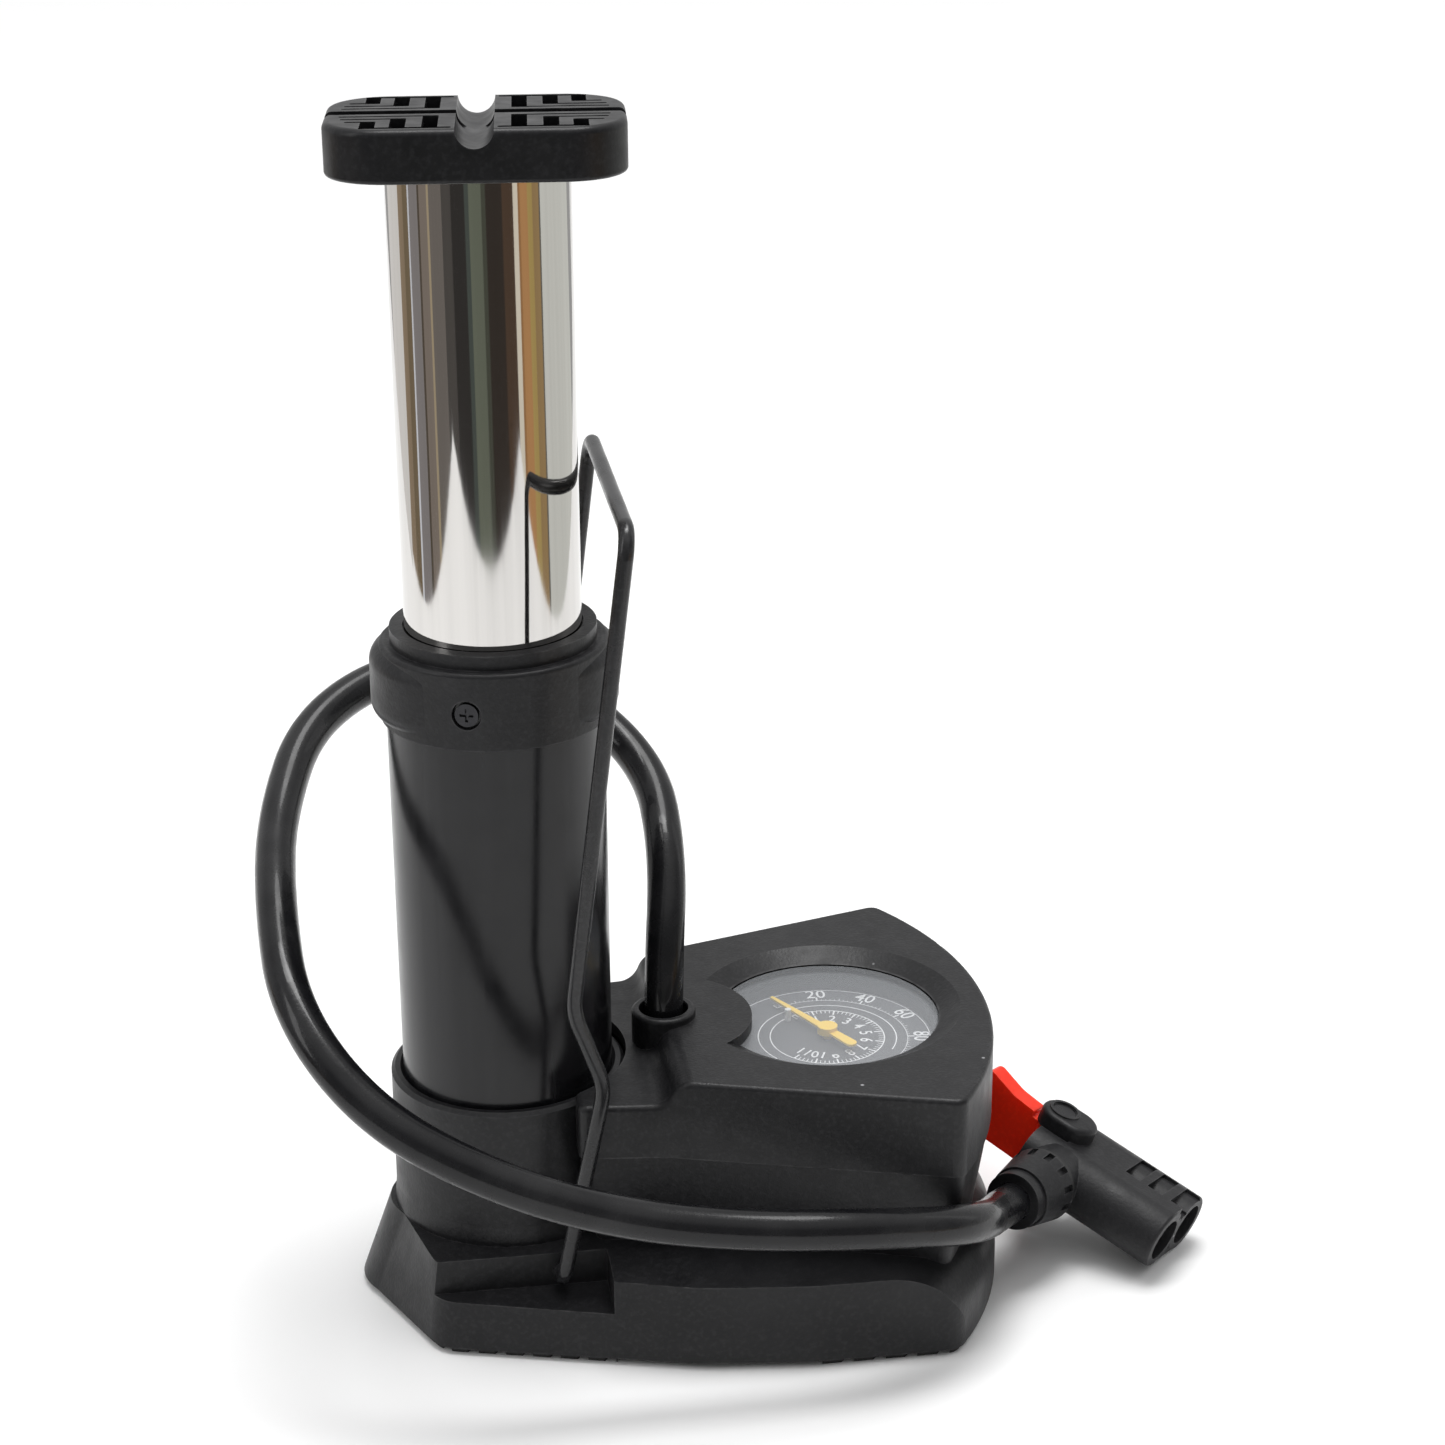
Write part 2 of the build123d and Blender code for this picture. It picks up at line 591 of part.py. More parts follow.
def gauge_needle():
    """Pointer with its hub and spindle."""
    blade = make_face(Polyline((NEEDLE_TIP, 0.4), (0, 1.0), (-NEEDLE_TAIL, 1.25), (-NEEDLE_TAIL, -1.25),
                               (0, -1.0), (NEEDLE_TIP, -0.4), close=True))
    blade += Pos(-NEEDLE_TAIL, 0) * Circle(1.25)
    needle = Rot(0, 0, NEEDLE_ANGLE) * prism(blade, NEEDLE_Z, NEEDLE_Z + 0.5)
    needle += disc(2.2, NEEDLE_Z - 0.4, NEEDLE_Z + 1.3)
    needle += disc(0.8, 34.8, NEEDLE_Z)
    return Pos(GAUGE_X, 0, 0) * needle


def gauge_lens():
    """Clear window, held under the cover's deck."""
    lens = disc(LENS_R, GAUGE_CASE_TOP + 0.1, LENS_TOP, GAUGE_X)
    return chamfer(lens.edges().group_by(Axis.Z)[-1], 0.4)


# The housing cover
def housing_cover():
    """Moulded cover with the lower deck, the hose outlet and the gauge's window."""
    outer = prism(cover_face(), WAIST_TOP + 0.02, DECK_HIGH) & deck_profile(DECK_LOW, DECK_HIGH, 0.0)
    tops = [e for e in outer.edges() if on_deck_rim(e)]
    outer = fillet(tops, 1.2)
    inner = prism(cover_face(WALL), WAIST_TOP - 1, DECK_HIGH)
    inner &= deck_profile(DECK_LOW - WALL, DECK_HIGH - WALL, 1.8)
    cover = outer - inner
    cup = disc(BOSS_R, 50.6, BOSS_TOP, BOSS_X)
    cover += fillet(cup.edges().group_by(Axis.Z)[-1], 0.8)
    cover -= turned([(0, 40), (BOSS_HOLE_R, 40), (BOSS_HOLE_R, 60.1), (5.6, 61), (0, 61)], BOSS_X)
    window = disc(WINDOW_R, 50, 60, GAUGE_X)
    window += turned([(0, 50), (WINDOW_R, 50), (WINDOW_R, LENS_TOP), (WINDOW_RIM_R, DECK_HIGH),
                      (WINDOW_RIM_R, 60), (0, 60)], GAUGE_X)
    lobe = disc(LOBE_R, LENS_TOP + 0.2, 61, BOSS_X)
    cover -= window - lobe
    cover -= disc(SOCKET_R + 0.4, 0, 80)
    for x, y in COVER_POSTS:
        post = disc(3.0, POST_TOP + 0.2, DECK_HIGH, x, y)
        cover += post & deck_profile(DECK_LOW - 1, DECK_HIGH - 1, 1.0)
        cover -= disc(1.2, 0, 43.0, x, y)
    return cover


def on_deck_rim(edge):
    """True for the edges where the cover's sides meet its deck."""
    middle = edge @ 0.5
    ends = (edge @ 0, edge @ 1)
    high = all(p.Z > DECK_LOW - 0.01 for p in ends)
    across = edge.geom_type == GeomType.LINE and abs(ends[0].X - ends[1].X) < 0.01 and ends[0].X > 20
    return high and not across and middle.Z > DECK_LOW - 0.01


# The valve head, drawn with its mouths facing +X and moved into place
def head_place():
    """Where the head lies beside the nose of the foot."""
    turn = Rot(0, 0, HEAD_YAW) * Rot(0, HEAD_DIP, 0) * Rot(HEAD_ROLL, 0, 0)
    return Pos(*HEAD_AT) * turn


def lying(radius, x0, x1, y, z=0.0):
    """Round bar along X."""
    return Pos((x0 + x1) / 2, y, z) * Rot(0, 90, 0) * Cylinder(radius, x1 - x0)


def across(radius, y0, y1, x):
    """Round bar along Y."""
    return Pos(x, (y0 + y1) / 2, 0) * Rot(90, 0, 0) * Cylinder(radius, y1 - y0)


MOUTH_R = 4.8
CHAMBER_R = 5.4
EAR_R = 4.9
EAR_FRONT = -30.6
EAR_TOP = 10.4


def head_body():
    """Twin-barrel body with ears for the lever and a port for the hose."""
    body = None
    for side in (-1, 1):
        barrel = lying(BARREL_R, -29.0, 0, side * BARREL_HALF)
        barrel = fillet(barrel.edges().group_by(Axis.X)[-1], 0.7)
        body = barrel if body is None else body + barrel
    body += block(-29.0, -0.4, -BARREL_HALF, BARREL_HALF, -BARREL_R + 0.02, BARREL_R - 0.02)
    shoulder = lying(BARREL_R, -36.0, -28.0, -BARREL_HALF)
    body += shoulder & block(-40, 0, -20, -5.4, -10, 10)
    ear = Pos(LEVER_X, 0) * Circle(EAR_R) + Pos(EAR_FRONT, 0) * Circle(EAR_R)
    ear += Pos((LEVER_X + EAR_FRONT) / 2, 0) * Rectangle(EAR_FRONT - LEVER_X, 2 * EAR_R)
    upper = prism(ear, 6.3, EAR_TOP)
    upper = fillet(upper.edges().group_by(Axis.Z)[-1], 1.2)
    upper += Pos(LEVER_X, 0, 0) * ring(3.6, 2.9, EAR_TOP - 0.5, EAR_TOP + 0.4)
    body += upper + mirror(upper, Plane.XY)
    body += prism(ear, -9.0, 9.0) & block(-29.0, 0, -20, 20, -20, 20)
    body += across(7.2, -14.5, -8.0, PORT_X)
    body -= across(3.0, -20.0, -6.0, PORT_X)
    for side in (-1, 1):
        body -= lying(MOUTH_R, -3.0, 1.0, side * BARREL_HALF)
        body -= lying(CHAMBER_R, -18.0, -2.0, side * BARREL_HALF)
        body -= lying(2.0, -28.0, -17.0, side * BARREL_HALF)
    for x0, x1 in ((-3.6, 1.0), (-9.6, -5.8), (-15.4, -11.6)):
        body -= block(x0, x1, -1.75, 1.75, 4.0, 8.0)
        rib_gap = lying(8.0, x0, x1, BARREL_HALF) - lying(6.1, x0 - 1, x1 + 1, BARREL_HALF)
        body -= rib_gap & block(x0, x1, 0, 7.5, 4.0, 9.0)
    body -= Pos(LEVER_X, 0, 0) * (disc(1.78, -12, 12) + disc(2.75, 9.6, 12))
    return body


def grommet(side, bore_r):
    """Rubber seal of one mouth."""
    seal = lying(CHAMBER_R - 0.1, -14.0, -2.05, side * BARREL_HALF)
    return seal - lying(bore_r, -20, 2, side * BARREL_HALF)


def grommet_pushers():
    """Sleeves behind the seals that the lever presses on."""
    pushers = []
    for side in (-1, 1):
        sleeve = lying(CHAMBER_R - 0.08, -17.9, -15.2, side * BARREL_HALF)
        pushers.append(sleeve - lying(2.0, -20, -10, side * BARREL_HALF))
    return joined(pushers)


def head_lever():
    """Locking lever: a hub between the ears and a tall paddle behind it."""
    hub = disc(4.4, -6.0, 6.0)
    side_view = FilletPolyline((0, -5.9), (-17.4, -5.4), (-19.6, -3.6), (-19.6, 10.6), (-11.5, 7.9), (-5.6, 7.3),
                               (-5.6, 5.9), (0, 5.9), radius=[1.2, 0.8, 1.6, 6.0, 0.5, 0.3])
    outline = make_face(side_view + Line((0, 5.9), (0, -5.9)))
    paddle = extrude(Plane.XZ * outline, 2.4, both=True)
    return Pos(LEVER_X, 0, 0) * (hub + paddle - disc(1.8, -20, 20))


def lever_pin():
    """Headed pin of the lever."""
    return Pos(LEVER_X, 0, 0) * (disc(1.75, -10.5, 9.7) + disc(2.6, 9.65, 10.4))


def nut_seal():
    """Rubber washer between the port and the nut."""
    return across(7.8, -16.0, -14.55, PORT_X) - across(3.2, -20, -10, PORT_X)


def hose_nut():
    """Swivel nut of the hose, tapered and notched for grip."""
    nut = Pos(PORT_X, -20.75, 0) * Rot(90, 0, 0) * Cone(8.2, 6.8, 9.4)
    count = 12
    for i in range(count):
        notch = Pos(8.3, 0, 0) * Box(2.0, 1.5, 3.0)
        nut -= Pos(PORT_X, -17.6, 0) * Rot(90, 0, 0) * Rot(0, 0, i * 360 / count) * notch
    return nut - across(2.0, -30, -10, PORT_X)


def nut_collar():
    """Sleeve that guards the hose where it leaves the nut."""
    sleeve = across(6.3, -28.6, -25.5, PORT_X)
    return sleeve - across(HOSE_D / 2 + 0.1, -30, -20, PORT_X)


# The hose
HOSE_ROUTE = [
    (33.7, 0, 46), (33.7, 0, 67), (37, 14, 90), (36, 40, 102), (15, 58, 116), (-15, 57, 122), (-38, 38, 117),
    (-46, 12, 105), (-47, -14, 97), (-45, -37, 84), (-31, -54, 69), (-8, -61, 56), (17, -60, 45),
    (42, -60, 40), (67, -60, 38), (91.5, -52, 32), (101.7, -28.9, 21.1), (107.9, -21.9, 19.7),
]


def corner_radii(points):
    """The largest arcs that the runs allow: 0.45 of the shorter run over the tangent of half the turn."""
    radii = []
    for before, here, after in zip(points, points[1:], points[2:]):
        run_in = Vector(*here) - Vector(*before)
        run_out = Vector(*after) - Vector(*here)
        half_turn = radians(run_in.get_angle(run_out)) / 2
        radii.append(0.45 * min(run_in.length, run_out.length) / tan(half_turn))
    return radii


def hose():
    """Air hose from the outlet in the cover, round the cylinder, to the valve head."""
    radii = corner_radii(HOSE_ROUTE)
    path = FilletPolyline(*HOSE_ROUTE, radius=radii)
    tube = sweep(Plane(origin=path @ 0, z_dir=path % 0) * Circle(HOSE_D / 2), path=path)
    section = pi * (HOSE_D / 2) ** 2
    print("hose radii:", [round(r) for r in radii])
    print("hose length:", round(path.length, 1), "volume ratio:", round(tube.volume / section / path.length, 4))
    return tube


def export_all():
    """Writes one STEP file for each node."""
    about_cylinder = {
        "base_body": base_body(), "bottom_plate": bottom_plate(), "bottom_screws": bottom_screws(),
        "cover_screws": cover_screws(), "front_sole": sole(-31.0, 18.0), "rear_sole": sole(60.0, 104.0),
        "air_manifold": air_manifold(), "hose_barb": hose_barb(), "hose_ferrule": hose_ferrule(),
        "cylinder_end_cap": cylinder_end_cap(), "end_cap_oring": end_cap_oring(),
        "check_valve_ball": check_valve_ball(), "check_valve_spring": check_valve_spring(),
        "check_valve_retainer": check_valve_retainer(), "cylinder_tube": cylinder_tube(),
        "collar": collar(), "collar_screws": collar_screws(), "guide_bush": guide_bush(),
        "wiper_ring": wiper_ring(), "plunger_tube": plunger_tube(), "piston": piston(),
        "piston_seal": piston_seal(), "piston_pin": piston_pin(), "spring_cap": spring_cap(),
        "return_spring": return_spring(), "pedal": pedal(), "pedal_insert": pedal_insert(),
        "pedal_screw": pedal_screw(), "bail_wire": bail_wire(), "gauge_case": gauge_case(),
        "gauge_dial": gauge_dial(), "zero_stop": zero_stop(), "bourdon_tube": bourdon_tube(),
        "gauge_movement": gauge_movement(), "needle_pinion": needle_pinion(),
        "gauge_needle": gauge_needle(), "gauge_lens": gauge_lens(), "housing_cover": housing_cover(),
        "hose": hose(),
    }
    on_head = {
        "head_body": head_body(), "schrader_grommet": grommet(-1, 3.95),
        "presta_grommet": grommet(1, 3.0), "grommet_pushers": grommet_pushers(),
        "head_lever": head_lever(), "lever_pin": lever_pin(), "nut_seal": nut_seal(),
        "hose_nut": hose_nut(), "nut_collar": nut_collar(),
    }
    os.makedirs("parts", exist_ok=True)
    for name, shape in on_head.items():
        about_cylinder[name] = head_place() * shape
    for name, shape in about_cylinder.items():
        export_step(Pos(-ORIGIN_X, 0, 0) * shape, f"parts/{name}.step")


export_all()
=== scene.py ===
"""The looks of the foot pump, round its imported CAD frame."""
import math

import bmesh
import bpy
from mathutils import Matrix, Vector


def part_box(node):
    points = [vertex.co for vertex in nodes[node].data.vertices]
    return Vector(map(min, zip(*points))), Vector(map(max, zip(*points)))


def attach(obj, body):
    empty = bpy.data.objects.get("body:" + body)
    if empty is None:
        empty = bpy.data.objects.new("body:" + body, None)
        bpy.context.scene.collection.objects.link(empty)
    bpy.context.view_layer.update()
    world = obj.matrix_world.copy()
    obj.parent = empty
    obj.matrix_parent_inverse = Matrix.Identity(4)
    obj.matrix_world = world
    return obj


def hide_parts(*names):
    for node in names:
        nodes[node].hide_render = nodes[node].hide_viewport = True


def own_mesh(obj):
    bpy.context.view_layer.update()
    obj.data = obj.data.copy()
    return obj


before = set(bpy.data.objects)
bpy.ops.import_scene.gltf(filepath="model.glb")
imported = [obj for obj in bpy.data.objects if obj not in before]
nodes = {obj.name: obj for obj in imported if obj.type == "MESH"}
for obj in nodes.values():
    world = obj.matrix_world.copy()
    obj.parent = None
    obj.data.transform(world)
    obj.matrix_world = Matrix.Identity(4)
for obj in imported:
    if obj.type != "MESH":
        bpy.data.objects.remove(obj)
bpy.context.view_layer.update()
scene = bpy.context.scene
scene.view_settings.view_transform = "Standard"


def centre_of(node):
    low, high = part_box(node)
    return (low + high) / 2


AXIS = centre_of("plunger_tube")         # the cylinder's and plunger's axis
DIAL = centre_of("gauge_dial")
DIAL_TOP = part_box("gauge_dial")[1].z


# Materials
class Look:
    """A Principled material with helpers that build its textures from nodes."""

    def __init__(self, name, colour, roughness, **sockets):
        self.material = bpy.data.materials.new(name)
        self.material.use_nodes = True
        self.tree = self.material.node_tree
        self.shader = self.tree.nodes["Principled BSDF"]
        self.colour = self.constant_colour(colour)
        self.roughness = roughness
        self.shader.inputs["Base Color"].default_value = (*colour, 1)
        self.shader.inputs["Roughness"].default_value = roughness
        for key, value in sockets.items():
            self.shader.inputs[key.replace("_", " ")].default_value = value
        self.normal = None
        self.place = self.tree.nodes.new("ShaderNodeTexCoord").outputs["Object"]

    def add(self, kind, **settings):
        node = self.tree.nodes.new("ShaderNode" + kind)
        for key, value in settings.items():
            setattr(node, key, value)
        return node

    def link(self, output, socket):
        self.tree.links.new(output, socket)

    def constant_colour(self, colour):
        node = self.add("RGB")
        node.outputs[0].default_value = (*colour, 1)
        return node.outputs[0]

    def stretched(self, scale):
        """The object's coordinates, stretched along each axis."""
        node = self.add("Mapping")
        node.inputs["Scale"].default_value = scale
        self.link(self.place, node.inputs["Vector"])
        return node.outputs[0]

    def noise(self, scale, detail=3.0, vector=None):
        node = self.add("TexNoise")
        node.inputs["Scale"].default_value = scale
        node.inputs["Detail"].default_value = detail
        self.link(vector or self.place, node.inputs["Vector"])
        return node.outputs["Fac"]

    def ranged(self, value, low, high, to_low=0.0, to_high=1.0):
        node = self.add("MapRange")
        for key, number in (("From Min", low), ("From Max", high), ("To Min", to_low), ("To Max", to_high)):
            node.inputs[key].default_value = number
        self.link(value, node.inputs["Value"])
        return node.outputs[0]

    def both(self, a, b):
        """A mask that is white where both masks are."""
        node = self.add("Math", operation="MULTIPLY")
        self.link(a, node.inputs[0])
        self.link(b, node.inputs[1])
        return node.outputs[0]

    def tint(self, mask, colour):
        """Mixes another colour in where the mask is white."""
        node = self.add("Mix", data_type="RGBA")
        self.link(mask, node.inputs["Factor"])
        self.link(self.colour, node.inputs["A"])
        node.inputs["B"].default_value = (*colour, 1)
        self.colour = node.outputs["Result"]
        self.link(self.colour, self.shader.inputs["Base Color"])
        return self

    def varied_roughness(self, value, spread):
        out = self.ranged(value, 0.3, 0.7, self.roughness - spread, self.roughness + spread)
        self.link(out, self.shader.inputs["Roughness"])
        return self

    def bump(self, height, distance, strength=1.0):
        node = self.add("Bump")
        node.inputs["Strength"].default_value = strength
        node.inputs["Distance"].default_value = distance
        self.link(height, node.inputs["Height"])
        if self.normal:
            self.link(self.normal, node.inputs["Normal"])
        self.normal = node.outputs[0]
        self.link(self.normal, self.shader.inputs["Normal"])
        return self

    def edges(self, radius):
        """A mask that is white along sharp outer and inner edges."""
        bevel = self.add("Bevel", samples=4)
        bevel.inputs["Radius"].default_value = radius
        plain = self.add("NewGeometry")
        dot = self.add("VectorMath", operation="DOT_PRODUCT")
        self.link(bevel.outputs[0], dot.inputs[0])
        self.link(plain.outputs["Normal"], dot.inputs[1])
        return self.ranged(dot.outputs["Value"], 0.98, 0.80)

    def specks(self, scale, size, share):
        """Sparse small spots: dust and nicks."""
        cells = self.add("TexVoronoi")
        cells.inputs["Scale"].default_value = scale
        self.link(self.place, cells.inputs["Vector"])
        spot = self.ranged(cells.outputs["Distance"], size, size * 0.5)
        split = self.add("SeparateColor")
        self.link(cells.outputs["Color"], split.inputs[0])
        chosen = self.ranged(split.outputs[0], share, share - 0.01)
        return self.both(spot, chosen)


def moulded(name, colour, roughness, grain=0.00008, grain_scale=1500, dust=True, **sockets):
    """Injection-moulded plastic: fine spark-eroded grain, faint flow clouds, dust, and a painted highlight
    along sharp edges that is patchy like rubbed wear.
    """
    look = Look(name, colour, roughness, **sockets)
    light = tuple(min(1, c * 1.5 + 0.004) for c in colour)
    look.tint(look.ranged(look.noise(28, 4.0), 0.42, 0.75, 0.0, 0.7), light)
    look.tint(look.ranged(look.noise(950, 2.0), 0.48, 0.72), light)
    # Lighter along sharp edges: a painted edge highlight, broken up by noise so it looks like rubbed wear
    look.tint(look.both(look.edges(0.0006), look.ranged(look.noise(320), 0.35, 0.7)),
              tuple(min(1, c * 1.8 + 0.05) for c in colour))
    if dust:
        look.tint(look.specks(150, 0.07, 0.12), (0.30, 0.30, 0.31))
    look.varied_roughness(look.noise(180, 5.0), 0.07)
    look.bump(look.noise(grain_scale, 2.0), grain, 0.7)
    return look


def drawn_metal(name, colour, roughness, streak=0.05, **sockets):
    """Polished or turned metal with fine lines along its length."""
    look = Look(name, colour, roughness, Metallic=1.0, **sockets)
    lines = look.noise(9, 5.0, look.stretched((60, 60, 0.5)))
    look.tint(look.ranged(lines, 0.40, 0.75, 0.0, 0.5), tuple(c * 0.82 for c in colour))
    look.tint(look.specks(60, 0.02, 0.07), tuple(c * 0.5 for c in colour))
    look.varied_roughness(lines, streak)
    look.bump(lines, 0.000012, 0.5)
    return look


def rubber(name, colour, roughness, **sockets):
    look = Look(name, colour, roughness, **sockets)
    look.tint(look.ranged(look.noise(70, 4.0), 0.45, 0.8, 0.0, 0.6), tuple(c + 0.02 for c in colour))
    look.varied_roughness(look.noise(240), 0.08)
    look.bump(look.noise(1700, 3.0), 0.00005, 0.6)
    return look


plastic = moulded("black_plastic", (0.0085, 0.0085, 0.0095), 0.42, Specular_IOR_Level=0.30)
pedal_look = moulded("pedal_plastic", (0.006, 0.006, 0.007), 0.36, grain=0.00003, Specular_IOR_Level=0.26)
head_look = moulded("head_plastic", (0.011, 0.011, 0.012), 0.46, Specular_IOR_Level=0.26)
red = moulded("red_plastic", (0.80, 0.024, 0.006), 0.38, grain=0.00001, dust=False, Specular_IOR_Level=0.22,
              Subsurface_Weight=0.35, Subsurface_Scale=0.004)
nylon = moulded("white_nylon", (0.74, 0.74, 0.71), 0.42, dust=False, Subsurface_Weight=0.05)
wire = moulded("wire_paint", (0.011, 0.011, 0.012), 0.24, grain=0.00001, dust=False, Specular_IOR_Level=0.4)
anodised = Look("anodised_black", (0.006, 0.006, 0.007), 0.22, Specular_IOR_Level=0.36)
anodised.tint(anodised.ranged(anodised.noise(8, 5.0, anodised.stretched((50, 50, 0.7))), 0.45, 0.8, 0.0, 0.5),
              (0.024, 0.024, 0.026))
anodised.tint(anodised.specks(90, 0.03, 0.06), (0.12, 0.12, 0.12))
anodised.varied_roughness(anodised.noise(120, 5.0), 0.04)
anodised.bump(anodised.noise(1500, 2.0), 0.000012, 0.5)
chrome = drawn_metal("chrome", (0.62, 0.605, 0.585), 0.05, 0.02)
steel = drawn_metal("zinc_steel", (0.58, 0.58, 0.57), 0.30)
dark_steel = drawn_metal("black_oxide_steel", (0.045, 0.045, 0.048), 0.30)
alloy = drawn_metal("machined_alloy", (0.62, 0.62, 0.64), 0.34)
brass = drawn_metal("brass", (0.78, 0.58, 0.24), 0.28)
sole_rubber = rubber("sole_rubber", (0.014, 0.014, 0.014), 0.72)
seal_rubber = rubber("seal_rubber", (0.010, 0.010, 0.010), 0.55)
hose_rubber = rubber("hose_rubber", (0.005, 0.005, 0.006), 0.26, Coat_Weight=0.25, Coat_Roughness=0.05,
                     Specular_IOR_Level=0.20)
dial_paint = Look("dial_paint", (0.055, 0.056, 0.060), 0.55)
dial_paint.tint(dial_paint.ranged(dial_paint.noise(90, 3.0), 0.45, 0.7, 0.0, 0.5), (0.085, 0.085, 0.09))
dial_paint.bump(dial_paint.noise(3000, 2.0), 0.00001, 0.4)
ink = Look("dial_ink", (0.82, 0.83, 0.84), 0.5)
ink.tint(ink.ranged(ink.noise(900, 2.0), 0.5, 0.8, 0.0, 0.6), (0.55, 0.56, 0.57))
yellow = Look("needle_paint", (0.90, 0.60, 0.020), 0.45)
yellow.tint(yellow.ranged(yellow.noise(220, 3.0), 0.45, 0.75, 0.0, 0.7), (0.94, 0.70, 0.07))
yellow.bump(yellow.noise(2500, 2.0), 0.00001, 0.5)
lens = Look("lens_clear", (0.86, 0.89, 0.93), 0.10, Alpha=0.14, IOR=1.49)
lens.tint(lens.specks(260, 0.05, 0.10), (1, 1, 1))
lens.varied_roughness(lens.noise(150, 3.0), 0.04)

LOOKS = {
    plastic: ("base_body", "housing_cover", "collar", "bottom_plate", "air_manifold", "nut_collar",
              "gauge_case"),
    pedal_look: ("pedal",),
    head_look: ("head_body", "hose_nut"),
    red: ("head_lever",),
    nylon: ("guide_bush", "piston", "spring_cap", "zero_stop", "grommet_pushers", "pedal_insert"),
    wire: ("bail_wire",),
    anodised: ("cylinder_tube",),
    chrome: ("plunger_tube",),
    steel: ("bottom_screws", "check_valve_ball", "check_valve_spring", "check_valve_retainer",
            "return_spring", "piston_pin", "pedal_screw"),
    dark_steel: ("collar_screws", "cover_screws", "lever_pin"),
    alloy: ("cylinder_end_cap", "hose_ferrule"),
    brass: ("hose_barb", "bourdon_tube", "gauge_movement", "needle_pinion"),
    sole_rubber: ("front_sole", "rear_sole"),
    seal_rubber: ("end_cap_oring", "wiper_ring", "piston_seal", "nut_seal", "schrader_grommet",
                  "presta_grommet"),
    dial_paint: ("gauge_dial",),
    yellow: ("gauge_needle",),
    lens: ("gauge_lens",),
}
for look, names in LOOKS.items():
    for name in names:
        for held in nodes[name].material_slots:
            held.material = look.material


def piece(name, data, look, body):
    thing = bpy.data.objects.new(name, data)
    scene.collection.objects.link(thing)
    data.materials.append(look.material)
    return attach(thing, body)


# The dial's printed scales
ZERO = 119.0                              # degrees from +X, turning down to full scale clockwise
SWEEP = 254.0
PRINT_Z = DIAL_TOP + 0.00003


def on_dial(radius, degrees):
    angle = math.radians(degrees)
    return Vector((DIAL.x + radius * math.cos(angle), DIAL.y + radius * math.sin(angle), PRINT_Z))


def arc(mesh, inner, outer, start, end):
    """A printed line along part of a circle."""
    steps = max(1, int(abs(end - start) / 3))
    turns = [start + (end - start) * i / steps for i in range(steps + 1)]
    rims = [[mesh.verts.new(on_dial(r, a)) for a in turns] for r in (inner, outer)]
    for i in range(steps):
        mesh.faces.new((rims[0][i], rims[1][i], rims[1][i + 1], rims[0][i + 1]))


def scale_marks():
    """Rings and strokes of the two scales."""
    marks = bmesh.new()
    arc(marks, 0.0123, 0.01255, 0, 360)
    arc(marks, 0.0149, 0.01515, -32, 214)
    arc(marks, 0.0223, 0.0225, 0, 360)
    arc(marks, 0.0174, 0.01755, ZERO - SWEEP, ZERO)
    for i in range(81):                   # outer scale, every 2 of 160
        angle = ZERO - SWEEP * i / 80
        length = 0.0016 if i % 10 == 0 else 0.0011 if i % 5 == 0 else 0.0006
        half = 0.55 if i % 10 == 0 else 0.22
        arc(marks, 0.0174, 0.0174 + length, angle - half, angle + half)
    for i in range(56):                   # inner scale, every 0.2 of 11
        angle = ZERO - SWEEP * i / 55
        length = 0.0018 if i % 5 == 0 else 0.0011
        half = 0.9 if i % 5 == 0 else 0.45
        arc(marks, 0.0123 - length, 0.0123, angle - half, angle + half)
    bmesh.ops.recalc_face_normals(marks, faces=marks.faces)
    data = bpy.data.meshes.new("dial_marks")
    marks.to_mesh(data)
    return piece("dial_marks", data, ink, "base")


def number(value, radius, degrees, height):
    text = bpy.data.curves.new(f"dial_number_{value}_{round(radius * 1e4)}", "FONT")
    text.body = str(value)
    text.align_x = text.align_y = "CENTER"
    text.size = height * 1.42
    text.space_character = 1.05
    text.offset = 0.00004
    thing = bpy.data.objects.new(text.name, text)
    thing.location = on_dial(radius, degrees)
    thing.rotation_euler = (0, 0, math.radians(degrees - 90))
    thing.scale = (0.86, 1, 1)
    scene.collection.objects.link(thing)
    text.materials.append(ink.material)
    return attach(thing, "base")


scale_marks()
for value in range(20, 161, 20):
    number(value, 0.0204, ZERO - SWEEP * value / 160, 0.0036)
for value in range(1, 12):
    number(value, 0.0085, ZERO - SWEEP * value / 11, 0.0028)


# The hose
HOSE_D = 0.0084
HOSE_POINTS = [
    (-0.0027, 0, 0.046), (-0.0027, 0, 0.067), (0.0006, 0.014, 0.090), (-0.0004, 0.040, 0.102),
    (-0.0214, 0.058, 0.116), (-0.0514, 0.057, 0.122), (-0.0744, 0.038, 0.117), (-0.0824, 0.012, 0.105),
    (-0.0834, -0.014, 0.097), (-0.0814, -0.037, 0.084), (-0.0674, -0.054, 0.069), (-0.0444, -0.061, 0.056),
    (-0.0194, -0.060, 0.045), (0.0056, -0.060, 0.040), (0.0306, -0.060, 0.038), (0.0551, -0.052, 0.032),
    (0.0653, -0.0289, 0.0211), (0.0715, -0.0219, 0.0197),
]
route = bpy.data.curves.new("air_hose", "CURVE")
route.dimensions = "3D"
route.bevel_depth = HOSE_D / 2
route.bevel_resolution = 7
route.resolution_u = 14
route.use_fill_caps = True
line = route.splines.new("NURBS")
line.points.add(len(HOSE_POINTS) - 1)
for point, where in zip(line.points, HOSE_POINTS):
    point.co = (*where, 1)
line.order_u = 3
line.use_endpoint_u = True
hose = piece("air_hose", route, hose_rubber, "base")
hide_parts("hose")


